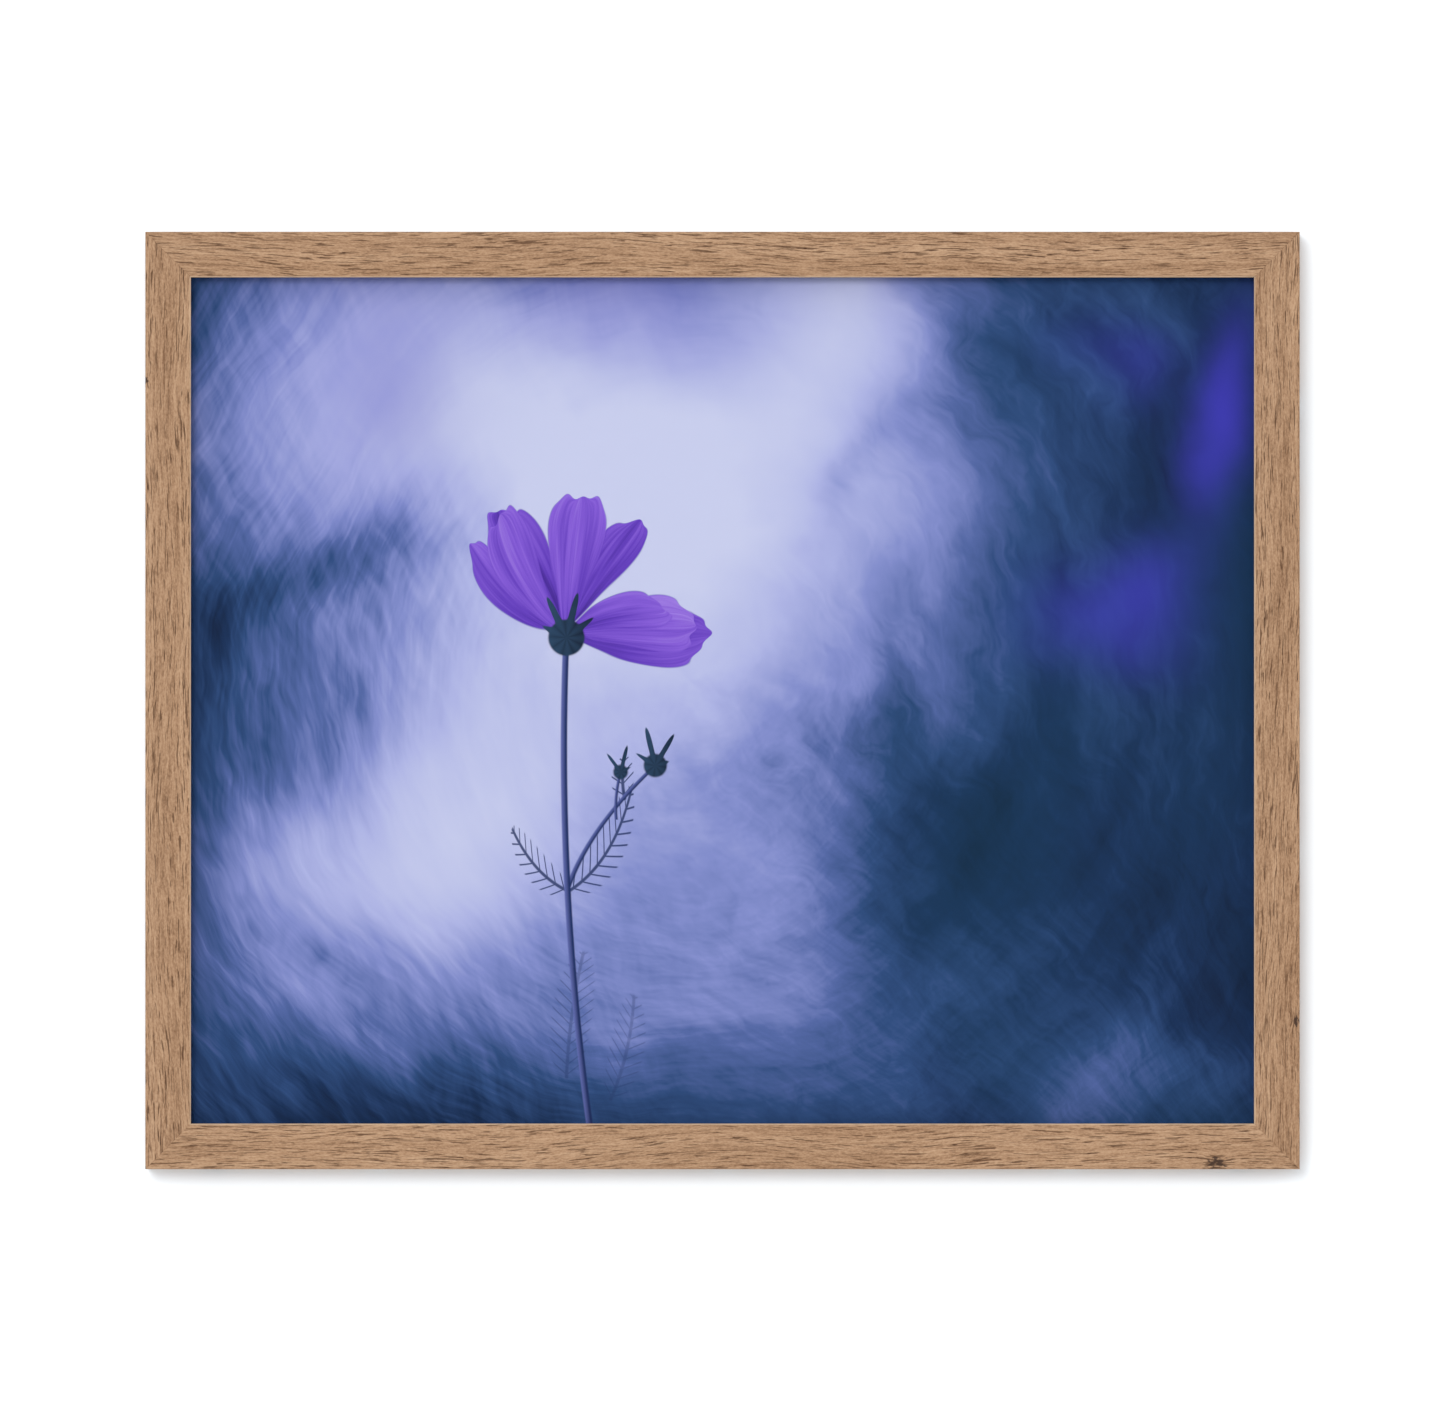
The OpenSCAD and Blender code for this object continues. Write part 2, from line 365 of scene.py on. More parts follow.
VIOLET_SPOTS = [
    ((2.3, 1.35), (0.2, 0.5), 0.0, 0.85),
    ((1.85, 0.45), (0.34, 0.26), 0.0, 0.6),
    ((1.7, 1.6), (0.2, 0.2), 0.0, 0.3),
    ((-1.6, 1.45), (0.45, 0.4), 0.0, 0.4),
    ((-0.5, 1.8), (0.5, 0.22), 0.0, 0.3),
]
GARDEN_TONES = [
    (0.0, ink(8, 28, 58)),
    (0.16, ink(24, 52, 96)),
    (0.32, ink(50, 82, 136)),
    (0.48, ink(93, 113, 179)),
    (0.64, ink(143, 153, 220)),
    (0.82, ink(190, 194, 246)),
    (1.0, ink(218, 221, 255)),
]
GARDEN_TEAL, GARDEN_VIOLET = ink(20, 66, 100), ink(72, 66, 205)
STROKE_MIDDLE, NEEDLE_MIDDLE = (-0.15, 0.1), (3.3, -3.4)


def garden(u, v):
    """The blurred ground: pale in the middle, dark at the sides, brushed in feathery strokes."""
    # Two slow drifts and a finer fuzz bend everything that follows
    drift_u = noise(at(u, v, 3.1), 0.75, 1) - 0.5
    drift_v = noise(at(u, v, 8.7), 0.75, 1) - 0.5
    fuzz = noise(at(u, v, 5.3), 3.2, 2) - 0.5
    uu = u + drift_u + fuzz * 0.16
    vv = v + drift_v + fuzz * 0.16
    level = 0.22
    for centre, radius, turn, share in PALE_SPOTS:
        level = glow(uu, vv, centre, radius, turn) * share + level
    for centre, radius, turn, share in DARK_SPOTS:
        level = level - glow(uu, vv, centre, radius, turn) * share
    bent_u, bent_v = u + drift_u * 0.35, v + drift_v * 0.35
    # Curved strokes round the pale middle, in three widths
    reach, cu, cv = round_middle(bent_u, bent_v, STROKE_MIDDLE)
    broad = noise(at(reach * 2.8 + fuzz * 0.6, cu * 1.5, cv * 1.5), detail=2) - 0.5
    brush = noise(at(reach * 12 + fuzz * 1.6, cu * 3, cv * 3), detail=2, rough=0.6) - 0.5
    hairs = noise(at(reach * 48 + fuzz * 5, cu * 8, cv * 8), detail=2, rough=0.65) - 0.5
    # Fine needles that fan out from a point past the lower right corner
    far, nu, nv = round_middle(bent_u, bent_v, NEEDLE_MIDDLE)
    needles = noise(at(nu * 48 + fuzz * 5, nv * 48, far * 2.4 + brush), detail=3, rough=0.65) - 0.5
    # Upright plumes at the left
    plume = noise(at(u * 14 + v * 6 + broad * 4, v * 2.2 - u * 0.9, 1.5), detail=2, rough=0.6) - 0.5
    # The pale middle stays calm
    busy = step(level, 1.0, 0.35) * 0.78 + 0.22
    left = step(u, 0.4, -1.2)
    strokes = broad * 0.42 + (brush * 0.3 + hairs * 0.2) * (left * 0.7 + 0.3)
    strokes = strokes + plume * (left * 0.3) + needles * ((1.0 - left) * 0.26)
    level = level + strokes * busy
    colour = ramp(level, GARDEN_TONES)
    teal = step(drift_u - drift_v + u * 0.12, 0.0, 0.5) * step(level, 0.6, 0.15)
    colour = blend_colour(teal * 0.5, colour, GARDEN_TEAL)
    for centre, radius, turn, share in VIOLET_SPOTS:
        colour = blend_colour(glow(uu, vv, centre, radius, turn) * share, colour, GARDEN_VIOLET)
    return colour


def in_leaf(u, v, base, heading, length, bend=0.0):
    """Distance along and across a leaf or petal that starts at base and heads off at an angle from up."""
    du, dv = u - base[0], v - base[1]
    t = (du * sin(heading) + dv * cos(heading)) / length
    across = du * cos(heading) - dv * sin(heading) - (t * t) * (bend * length)
    return t, across


FLOWER = (-0.72, 0.31)
# Each petal's heading in degrees from up, length, half width, bend and tone, from back to front
PETALS = [
    (-70, 0.56, 0.12, 0.42, 0.24),
    (100, 0.66, 0.17, -0.16, 0.22),
    (-22, 0.66, 0.15, -0.12, 0.16),
    (24, 0.62, 0.13, 0.16, 0.14),
    (-46, 0.62, 0.15, 0.30, 0.36),
    (78, 0.60, 0.17, 0.14, 0.40),
    (4, 0.66, 0.17, 0.04, 0.34),
    (58, 0.46, 0.13, 0.34, 0.28),
]
PETAL_TONES = [
    (0.0, ink(66, 36, 146)),
    (0.32, ink(108, 66, 202)),
    (0.62, ink(144, 98, 230)),
    (1.0, ink(188, 152, 250)),
]


def bloom(u, v, under):
    """Petals that fan out from the calyx, each with a narrow claw, a ragged end and fine veins."""
    side, rise, shade, cover = 0.0, 0.0, 0.0, 0.0
    for heading, length, width, bend, tone in PETALS:
        t, across = in_leaf(u, v, FLOWER, radians(heading), length, bend)
        # The end of each petal is ragged
        rag = wave(across * 88 + heading) * 0.012 + wave(across * 37 + 2 * heading) * 0.022
        t = (t * 1.03 + rag).math("MAXIMUM", 0)
        t3 = t * t * t
        half = (t ** 0.85) * root(1.0 - t3 * t3) * (width * 1.15)
        inside = step(half - abs(across), 0.0, 0.01)
        side = mixed(inside, side, across / (half + 0.01))
        rise = mixed(inside, rise, t)
        shade = mixed(inside, shade, tone)
        cover = inside.math("MAXIMUM", cover)
    veins = noise(at(side * 9, rise * 1.2, shade * 60), detail=2, rough=0.75) - 0.5
    folds = noise(at(side * 1.8, rise * 0.8, shade * 60 + 5), detail=1) - 0.5
    rim = step(abs(side), 0.86, 1.0)
    level = shade + folds * 0.7 + veins * 0.62 + rise * 0.3 + rim * 0.14
    return blend_colour(cover, under, ramp(level, PETAL_TONES))


def spiky(u, v, under, centre, radius, spikes, count, lean, dark, pale):
    """A round bud or calyx with pointed sepals that stand up round it."""
    reach, cu, cv = round_middle(u, v, centre)
    turn = cu.math("ARCTAN2", cv) + lean
    points = abs(wave(turn * (count / 2)))
    upward = step(cv, 0.0, 0.85)
    edge = radius + upward * (points ** 7) * spikes
    inside = step(edge - reach, 0.0, 0.012)
    side = step(cu * reach / radius, 1.1, -0.9) * 0.6 + points * 0.3
    return blend_colour(inside, under, ramp(side, [(0.0, dark), (1.0, pale)]))


def stalk(u, v, under, foot, top, bow, half, dark, pale):
    """A thin stem from foot to top, bowed sideways between them."""
    rise = top[1] - foot[1]
    t = (v - foot[1]) / rise
    middle = foot[0] + t * (top[0] - foot[0]) + t * (1.0 - t) * (4 * bow)
    off = (u - middle) / sqrt(1 + ((top[0] - foot[0]) / rise) ** 2)
    inside = step(half - abs(off), 0.0, 0.008)
    inside = inside * step(t, -0.005, 0.005) * step(t, 1.005, 0.995)
    return blend_colour(inside, under, ramp(off / (2 * half) + 0.5, [(0.1, pale), (0.7, dark)]))


def frond(u, v, under, base, heading, length, bend, reach, leaflets, dark, share):
    """A feathery leaf: a rib with thin leaflets that slant forward on both sides."""
    t, across = in_leaf(u, v, base, heading, length, bend)
    span = abs(across)
    envelope = root(t * 1.6) * root(1.0 - t) * reach
    row = (t * leaflets - span * (leaflets / length * 0.85)).math("FRACT")
    thin = step(abs(row - 0.5), 0.12, 0.04) * step(span, envelope, envelope * 0.85)
    rib = step(span, 0.011, 0.004)
    inside = thin.math("MAXIMUM", rib) * step(t, 0.0, 0.02) * step(t, 1.0, 0.98)
    return blend_colour(inside * share, under, dark)


STEM_FOOT = (-0.60, -2.05)
BRANCH, TWIG = (-0.712, -0.86), (-0.49, -0.55)
BUD, SMALL_BUD = (-0.31, -0.30), (-0.47, -0.33)
STEM_DARK, STEM_PALE = ink(34, 50, 104), ink(108, 118, 190)
BUD_DARK, BUD_PALE = ink(8, 20, 44), ink(50, 80, 112)
FROND_TONE = ink(38, 56, 106)
# Each frond's base, heading, length, bend, leaflet reach, number of leaflets and strength
FRONDS = [
    ((-0.72, -1.75), 2, 0.6, 0.1, 0.16, 13, 0.4),
    ((-0.52, -1.85), 24, 0.5, -0.2, 0.14, 11, 0.35),
    ((-0.71, -0.88), 58, 0.50, -0.5, 0.15, 10, 0.9),
    ((-0.71, -0.88), -66, 0.36, 0.45, 0.12, 8, 0.9),
    ((-0.45, -0.46), -12, 0.2, 0.2, 0.09, 4, 0.9),
]


def flower(u, v, ground):
    """The flower, its stem, two buds and feathery leaves, laid over the ground from back to front."""
    colour = ground
    for base, heading, length, bend, reach, leaflets, share in FRONDS:
        turn = radians(heading)
        colour = frond(u, v, colour, base, turn, length, bend, reach, leaflets, FROND_TONE, share)
    for foot, top, bow, half in (
        (BRANCH, BUD, -0.05, 0.014),
        (TWIG, SMALL_BUD, -0.01, 0.011),
        (STEM_FOOT, FLOWER, -0.055, 0.019),
    ):
        colour = stalk(u, v, colour, foot, top, bow, half, STEM_DARK, STEM_PALE)
    for centre, radius, spikes, count, lean in (
        (SMALL_BUD, 0.04, 0.1, 7, 0.2),
        (BUD, 0.06, 0.13, 8, -0.15),
    ):
        colour = spiky(u, v, colour, centre, radius, spikes, count, lean, BUD_DARK, BUD_PALE)
    colour = bloom(u, v, colour)
    calyx = (FLOWER[0], FLOWER[1] - 0.02)
    return spiky(u, v, colour, calyx, 0.09, 0.13, 9, 0.1, BUD_DARK, BUD_PALE)


def printed():
    """Matt photo paper with the picture printed on its face."""
    paper = Surface("printed_picture", roughness=0.6, specular=0.06)
    x, y, z = paper.place()
    u, v = x / DECIMETRE, z / DECIMETRE
    paper.set("Base Color", flower(u, v, garden(u, v)))
    return paper.material


# Plain materials of the fittings and boards


def steel(name, tint, dull, seed):
    """Plated steel with a faint cloudiness, drawing lines and a few fine scratches."""
    skin = Surface(name, metallic=1.0)
    x, y, z = skin.place()
    cloud = noise(at(x, y, z + seed), 260, 3)
    lines = noise(at(x * 900, y * 9000, z * 9000 + seed), 1, 2)
    scratch = step(noise(at(x * 700 + z * 5200, y * 700, z * 700 - x * 300), 1, 1), 0.66, 0.72)
    worn = tuple(c * 0.72 for c in tint[:3]) + (1.0,)
    skin.set("Base Color", blend_colour(step(cloud, 0.3, 0.75) * 0.6, tint, worn))
    skin.set("Roughness", dull + (cloud - 0.5) * 0.25 + scratch * 0.12)
    skin.relief(lines * 0.3 + cloud * 0.5 - scratch * 0.3, 0.02 * MM, 0.5)
    return skin.material


CHIP_BROWN = (0.07, 0.04, 0.02, 1)


def board(name, base, fleck, fibre_scale, dull=0.85, depth=0.05, spots=0.0):
    """A pressed fibre board or paper, with short fibres that lie in every direction.

    fibre_scale is marks per metre, depth is the relief in millimetres, and spots is the share of
    dark chips.
    """
    skin = Surface(name, roughness=dull, specular=0.2)
    x, y, z = skin.place()
    cloud = noise(at(x, y, z), 18, 3)
    bend = noise(at(x, y, z), fibre_scale * 0.3, 1) * (1.2 / fibre_scale)
    one = noise(at(x + bend, y, z * 0.22), fibre_scale, 2, 0.65)
    two = noise(at(x * 0.22, y, z + bend), fibre_scale, 2, 0.65)
    three = noise(at((x + z) * 0.7, y, (x - z) * 0.16), fibre_scale, 2, 0.6)
    fibres = one.math("MAXIMUM", two).math("MAXIMUM", three)
    grit = noise(at(x, y, z), fibre_scale * 1.7, 2)
    share = step(fibres, 0.5, 0.76) * 0.8 + (cloud - 0.5) * 0.5 + (grit - 0.5) * 0.6
    colour = blend_colour(share.math("MAXIMUM", 0), base, fleck)
    if spots:
        chip = step(noise(at(x, y, z + 3), fibre_scale * 0.55, 1), 0.68, 0.74)
        colour = blend_colour(chip * spots, colour, CHIP_BROWN)
    skin.set("Base Color", colour)
    skin.relief(fibres * 0.6 + grit * 0.4, depth * MM, 0.6)
    return skin.material


def rubber():
    """Dusty black rubber."""
    black, dusty = (0.025, 0.025, 0.027, 1), (0.075, 0.073, 0.07, 1)
    skin = Surface("bumper_rubber", roughness=0.7, specular=0.35)
    x, y, z = skin.place()
    grain = noise(at(x, y, z), 2600, 3)
    dust = noise(at(x, y, z), 300, 3)
    skin.set("Base Color", blend_colour(step(dust, 0.35, 0.8) * 0.5, black, dusty))
    skin.set("Roughness", 0.62 + dust * 0.25)
    skin.relief(grain, 0.03 * MM, 0.6)
    return skin.material


ACRYLIC_IOR = 1.49
# The coating cancels this much reflection, which is all of it up to about 55 degrees off square
COATING_CANCELS = 0.07


def acrylic():
    """Clear anti-reflective acrylic: nearly invisible from the front, glossy at a slant."""
    material = bpy.data.materials.new("clear_acrylic")
    material.use_nodes = True
    tree = material.node_tree
    tree.nodes.clear()
    clear = tree.nodes.new("ShaderNodeBsdfTransparent")
    clear.inputs["Color"].default_value = (0.985, 0.992, 0.99, 1)
    gloss = tree.nodes.new("ShaderNodeBsdfGlossy")
    gloss.inputs["Roughness"].default_value = 0.03
    fresnel = tree.nodes.new("ShaderNodeFresnel")
    fresnel.inputs["IOR"].default_value = ACRYLIC_IOR
    mix = tree.nodes.new("ShaderNodeMixShader")
    output = tree.nodes.new("ShaderNodeOutputMaterial")
    facing = tree.nodes.new("ShaderNodeNewGeometry")
    coated = (Num(tree, fresnel.outputs[0]) - COATING_CANCELS).math("MAXIMUM", 0) * 0.85
    # Only the outside of each face reflects
    feed(tree, mix.inputs[0], coated * (1.0 - Num(tree, facing.outputs["Backfacing"])))
    tree.links.new(clear.outputs[0], mix.inputs[1])
    tree.links.new(gloss.outputs[0], mix.inputs[2])
    tree.links.new(mix.outputs[0], output.inputs[0])
    return material


# Mesh helpers

# Points closer than this after a boolean are made one
SLIVER = 0.002 * MM


def new_piece(name, mesh, material, body, cad_nodes):
    """A finished piece that rides on a body and stands for these CAD nodes."""
    piece = bpy.data.objects.new(name, mesh)
    bpy.context.scene.collection.objects.link(piece)
    mesh.materials.clear()
    mesh.materials.append(material)
    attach(piece, body)
    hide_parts(*cad_nodes)


def smooth_by_angle(mesh, degrees=32):
    """Shades the mesh smooth except across edges sharper than this."""
    mesh.shade_smooth()
    build = bmesh.new()
    build.from_mesh(mesh)
    for edge in build.edges:
        edge.smooth = len(edge.link_faces) == 2 and edge.calc_face_angle() < radians(degrees)
    build.to_mesh(mesh)
    build.free()


def mesh_from(name, points, faces):
    """A mesh whose faces all point outward."""
    mesh = bpy.data.meshes.new(name)
    mesh.from_pydata([tuple(p) for p in points], [], faces)
    build = bmesh.new()
    build.from_mesh(mesh)
    bmesh.ops.recalc_face_normals(build, faces=build.faces)
    build.to_mesh(mesh)
    build.free()
    return mesh


def loft(name, rings, closed=False):
    """Joins equal rings of points in order, and caps the ends unless the row of rings is closed."""
    count = len(rings[0])
    points = [p for ring in rings for p in ring]
    faces = []
    for i in range(len(rings) if closed else len(rings) - 1):
        a, b = i * count, (i + 1) % len(rings) * count
        for j in range(count):
            k = (j + 1) % count
            faces.append((a + j, a + k, b + k, b + j))
    if not closed:
        faces.append(tuple(range(count)))
        faces.append(tuple(range(len(points) - count, len(points))))
    return mesh_from(name, points, faces)


def merged(name, parts):
    """One mesh of several (mesh, matrix) parts."""
    build = bmesh.new()
    for mesh, matrix in parts:
        moved = mesh.copy()
        moved.transform(matrix)
        build.from_mesh(moved)
        bpy.data.meshes.remove(moved)
    whole = bpy.data.meshes.new(name)
    build.to_mesh(whole)
    build.free()
    return whole


def carved(mesh, tool, operation="DIFFERENCE"):
    """The mesh after a boolean with the tool mesh, cleaned of slivers. Both meshes are used up."""
    subject = bpy.data.objects.new("subject", mesh)
    cutter = bpy.data.objects.new("cutter", tool)
    for thing in (subject, cutter):
        bpy.context.scene.collection.objects.link(thing)
    cut = subject.modifiers.new("cut", "BOOLEAN")
    cut.operation = operation
    cut.solver = "EXACT"
    cut.object = cutter
    ready = subject.evaluated_get(bpy.context.evaluated_depsgraph_get())
    result = bpy.data.meshes.new_from_object(ready)
    for thing, data in ((subject, mesh), (cutter, tool)):
        bpy.data.objects.remove(thing)
        bpy.data.meshes.remove(data)
    build = bmesh.new()
    build.from_mesh(result)
    bmesh.ops.remove_doubles(build, verts=build.verts, dist=SLIVER)
    bmesh.ops.dissolve_degenerate(build, edges=build.edges, dist=SLIVER)
    bmesh.ops.triangulate(build, faces=build.faces)
    # Two triangles on the same three points are a fold with nothing inside
    places = {}
    for face in build.faces:
        places.setdefault(frozenset(face.verts), []).append(face)
    folded = [face for pair in places.values() if len(pair) > 1 for face in pair]
    bmesh.ops.delete(build, geom=folded, context="FACES")
    build.to_mesh(result)
    build.free()
    return result


def arc(centre, radius, start, end, steps):
    """Points of an arc in the plane, angles in degrees."""
    turns = [radians(start + (end - start) * k / steps) for k in range(steps + 1)]
    return [Vector(centre) + Vector((cos(a), sin(a))) * radius for a in turns]


def rounded_outline(corners, segments=5):
    """A closed outline of right-angled corners (x, y, radius), each rounded by an arc."""
    outline = []
    for i, (x, y, radius) in enumerate(corners):
        here = Vector((x, y))
        back = (Vector(corners[i - 1][:2]) - here).normalized()
        on = (Vector(corners[(i + 1) % len(corners)][:2]) - here).normalized()
        if radius == 0:
            outline.append(here)
            continue
        centre = here + (back + on) * radius
        for k in range(segments + 1):
            turn = k / segments * pi / 2
            outline.append(centre - on * radius * cos(turn) - back * radius * sin(turn))
    return outline


def shrunk(outline, inset):
    """A smooth anticlockwise outline moved inward by inset."""
    moved = []
    for i, point in enumerate(outline):
        along = (outline[(i + 1) % len(outline)] - outline[i - 1]).normalized()
        moved.append(point + Vector((-along.y, along.x)) * inset)
    return moved


def plate(name, outline, y0, y1, edge, steps=3):
    """A flat plate in X and Z with all its edges rounded."""
    turns = [k / steps * pi / 2 for k in range(steps + 1)]
    levels = [(edge * (1 - sin(a)), y0 + edge * (1 - cos(a))) for a in turns]
    levels += [(edge * (1 - cos(a)), y1 - edge * (1 - sin(a))) for a in turns]
    return loft(name, [[Vector((p.x, y, p.y)) for p in shrunk(outline, inset)] for inset, y in levels])


def lathe(name, profile, segments=36):
    """A solid turned about Y from a profile of (radius, y)."""
    turns = [2 * pi * k / segments for k in range(segments)]
    return loft(name, [[Vector((r * cos(a), y, r * sin(a))) for a in turns] for r, y in profile])


def swept(name, path, normal, radius, segments=14):
    """A round bar along a closed flat path."""
    rings = []
    for i, point in enumerate(path):
        along = (path[(i + 1) % len(path)] - path[i - 1]).normalized()
        side = along.cross(normal)
        turns = [2 * pi * k / segments for k in range(segments)]
        rings.append([point + (side * cos(a) + normal * sin(a)) * radius for a in turns])
    return loft(name, rings, closed=True)


def block(name, outline, y0, y1):
    """A straight-sided prism of an outline in X and Z."""
    return loft(name, [[Vector((p.x, y, p.y)) for p in outline] for y in (y0, y1)])


# Mouldings

# Radii of the arrises at the front, at the back and under the lip
FRONT_ROUND, BACK_ROUND, LIP_ROUND = 0.55 * MM, 0.4 * MM, 0.25 * MM
# The bevel at each mitre that shows as a hairline
SEAM = 0.09 * MM
# Keeps the points of the nail pockets, which lie in the mitre's plane, off the end faces
JOINT_GAP = 0.01 * MM
STATIONS = 24
# Each nail's distance from the frame's outer corner, along each side, and its pocket's size
NAIL_PLACES = (4.5 * MM, 10.5 * MM)
POCKET_HALF, POCKET_WING, POCKET_SPREAD = 0.33 * MM, 4.6 * MM, radians(50)
POCKET_FLOOR_Y = BACK_Y - 10.1 * MM


def nail_pocket(side_x, side_z, place):
    """The V-shaped slot of one corner nail, a little wider than the nail."""
    inward = atan2(-side_z, -side_x)
    apex = Vector((side_x * (OUTER_W / 2 - place), side_z * (OUTER_H / 2 - place)))
    outline = []
    for s in (-1, 1):
        heading = inward + s * POCKET_SPREAD
        along = Vector((cos(heading), sin(heading)))
        across = Vector((-along.y, along.x)) * (s * POCKET_HALF)
        tip = apex + along * POCKET_WING
        outline += [tip - across, tip + across][::-s]
        middle = Vector((cos(inward), sin(inward))) * (POCKET_HALF / sin(POCKET_SPREAD))
        outline.append(apex + middle * s)
    return block("pocket", outline, POCKET_FLOOR_Y, BACK_Y + 1 * MM)


def moulding(name, length, reach, turn):
    """One mitred length of the moulding, along X with its outer edge up, then turned about Y."""
    inner = FACE_W - REBATE_W
    section = rounded_outline([
        (0, BACK_Y, BACK_ROUND),
        (0, FRONT_Y, FRONT_ROUND),
        (FACE_W, FRONT_Y, FRONT_ROUND),
        (FACE_W, LIP_BACK_Y, LIP_ROUND),
        (inner, LIP_BACK_Y, 0),
        (inner, BACK_Y, BACK_ROUND),
    ])
    middle = Vector((inner / 2, (FRONT_Y + BACK_Y) / 2))
    spin = Matrix.Rotation(turn, 3, "Y")

    def ring(side, share, set_in):
        """The section at this share of the way to one end, shrunk by set_in."""
        points = []
        for across, depth in section:
            pull = Vector((middle.x - across, middle.y - depth)).normalized() * set_in
            u, y = across + pull.x, depth + pull.y
            points.append(spin @ Vector((side * share * (length / 2 - u - JOINT_GAP), y, reach - u)))
        return points

    near = 1 - 2 * SEAM / length
    rings = [ring(-1, 1, SEAM)]
    rings += [ring(-1, near * (1 - 2 * k / STATIONS), 0) for k in range(STATIONS + 1)]
    rings += [ring(1, 1, SEAM)]
    mesh = loft(name, rings)
    pockets = []
    for end in (-1, 1):
        corner = spin @ Vector((end * length, 0, reach))
        side_x, side_z = (1 if corner.x > 0 else -1), (1 if corner.z > 0 else -1)
        pockets += [(nail_pocket(side_x, side_z, place), Matrix()) for place in NAIL_PLACES]
    mesh = carved(mesh, merged("pockets", pockets))
    mesh.name = name
    smooth_by_angle(mesh)
    return mesh


# Length, distance from the middle, turn about Y, then the grain's axis, seed, slope and knots
for node, length, reach, turn, axis, seed, slope, knots in (
    ("top_rail", OUTER_W, OUTER_H / 2, 0, "x", 0.0, 0.012, []),
    ("right_stile", OUTER_H, OUTER_W / 2, pi / 2, "z", 2.3, -0.02, [(-0.147, 0.2645, 0.0024)]),
    ("bottom_rail", OUTER_W, OUTER_H / 2, pi, "x", 4.1, -0.015, [(0.228, -0.2132, 0.004)]),
    ("left_stile", OUTER_H, OUTER_W / 2, 3 * pi / 2, "z", 6.7, 0.016, [(0.148, -0.2657, 0.0015)]),
):
    name = node + "_moulding"
    wood = oak("oak_" + node, axis, seed, slope, knots)
    new_piece(name, moulding(name, length, reach, turn), wood, "frame", [node])

# Screws

HEAD_R, HEAD_H, SHANK_R = 3.3 * MM, 1.8 * MM, 1.75 * MM
THREAD_R, CORE_R, PITCH = 1.65 * MM, 1.15 * MM, 1.6 * MM
SCREW_IN_WOOD, TIP_L = 12 * MM, 2.4 * MM
RAIL_Z = OUTER_H / 2 - (FACE_W - REBATE_W) / 2
STILE_X = OUTER_W / 2 - (FACE_W - REBATE_W) / 2


def screw(grip):
    """A pan-head screw with a cross recess. Its head stands on y = 0, and the wood starts at -grip."""
    segments, per_turn = 24, 8
    turns = [2 * pi * k / segments for k in range(segments)]
    steps = int(SCREW_IN_WOOD / PITCH * per_turn)
    rings = []
    for i in range(steps, -1, -1):
        depth = SCREW_IN_WOOD * i / steps
        taper = min(1.0, (SCREW_IN_WOOD - depth) / TIP_L + 0.08)
        fade = min(1.0, depth / PITCH)
        ring = []
        for a in turns:
            phase = (depth / PITCH + a / (2 * pi)) % 1
            crest = max(0.0, 1 - abs(phase - 0.5) * 4) * fade
            r = (CORE_R + (THREAD_R - CORE_R) * crest) * taper
            ring.append(Vector((r * cos(a), -grip - depth, r * sin(a))))
        rings.append(ring)
    edge = 0.25 * MM
    profile = [(CORE_R, -grip + 0.1 * MM), (SHANK_R, -grip + 0.3 * MM), (SHANK_R, 0)]
    profile += [(HEAD_R - edge, 0), (HEAD_R, edge)]
    for k in range(11):
        a = pi / 2 * k / 10
        profile.append((HEAD_R * (0.42 + 0.58 * cos(a)), edge * 2 + (HEAD_H - edge * 2) * sin(a)))
    rings += [[Vector((r * cos(a), y, r * sin(a))) for a in turns] for r, y in profile]
    mesh = loft("screw", rings)
    long, wide, deep = 2 * MM, 0.42 * MM, 1 * MM
    for turn in (0, pi / 2):
        points = []
        for y, share in ((HEAD_H + 0.1 * MM, 1.05), (HEAD_H - deep, 0.55)):
            for x, z in ((-long, -wide), (long, -wide), (long, wide), (-long, wide)):
                spun = Matrix.Rotation(turn, 2) @ Vector((x * share, z * (0.4 + share * 0.6)))
                points.append((spun.x, y, spun.y))
        sides = [(0, 1, 2, 3), (4, 5, 6, 7), (0, 1, 5, 4), (1, 2, 6, 5), (2, 3, 7, 6), (3, 0, 4, 7)]
        mesh = carved(mesh, mesh_from("recess", points, sides))
    smooth_by_angle(mesh, 38)
    return mesh


def driven(name, master, places, y):
    """One mesh of the screw at all these (x, z) places, each stopped at another angle."""
    parts = []
    for i, (x, z) in enumerate(places):
        parts.append((master, Matrix.Translation((x, y, z)) @ Matrix.Rotation(i * 2.4 + 0.5, 4, "Y")))
    return merged(name, parts)


# Turn buttons

BUTTON_T, BUTTON_AIR = 1.1 * MM, 0.05 * MM
BUTTON_Y = BACK_Y + BUTTON_AIR
PIVOT_R, ARM_R, TAIL_R = 5.5 * MM, 3.6 * MM, 2.6 * MM
ARM_L, TAIL_L = 16 * MM, 4 * MM
PITCH_X, PITCH_Z = 160 * MM, 70 * MM
BUTTONS = [
    ("turn_button_top_left", -PITCH_X, RAIL_Z, 90),
    ("turn_button_top_centre", 0, RAIL_Z, 90),
    ("turn_button_top_right", PITCH_X, RAIL_Z, 90),
    ("turn_button_bottom_left", -PITCH_X, -RAIL_Z, -90),
    ("turn_button_bottom_centre", 0, -RAIL_Z, -90),
    ("turn_button_bottom_right", PITCH_X, -RAIL_Z, -90),
    ("turn_button_left_upper", -STILE_X, PITCH_Z, 0),
    ("turn_button_left_lower", -STILE_X, -PITCH_Z, 0),
    ("turn_button_right_upper", STILE_X, PITCH_Z, 180),
    ("turn_button_right_lower", STILE_X, -PITCH_Z, 180),
]


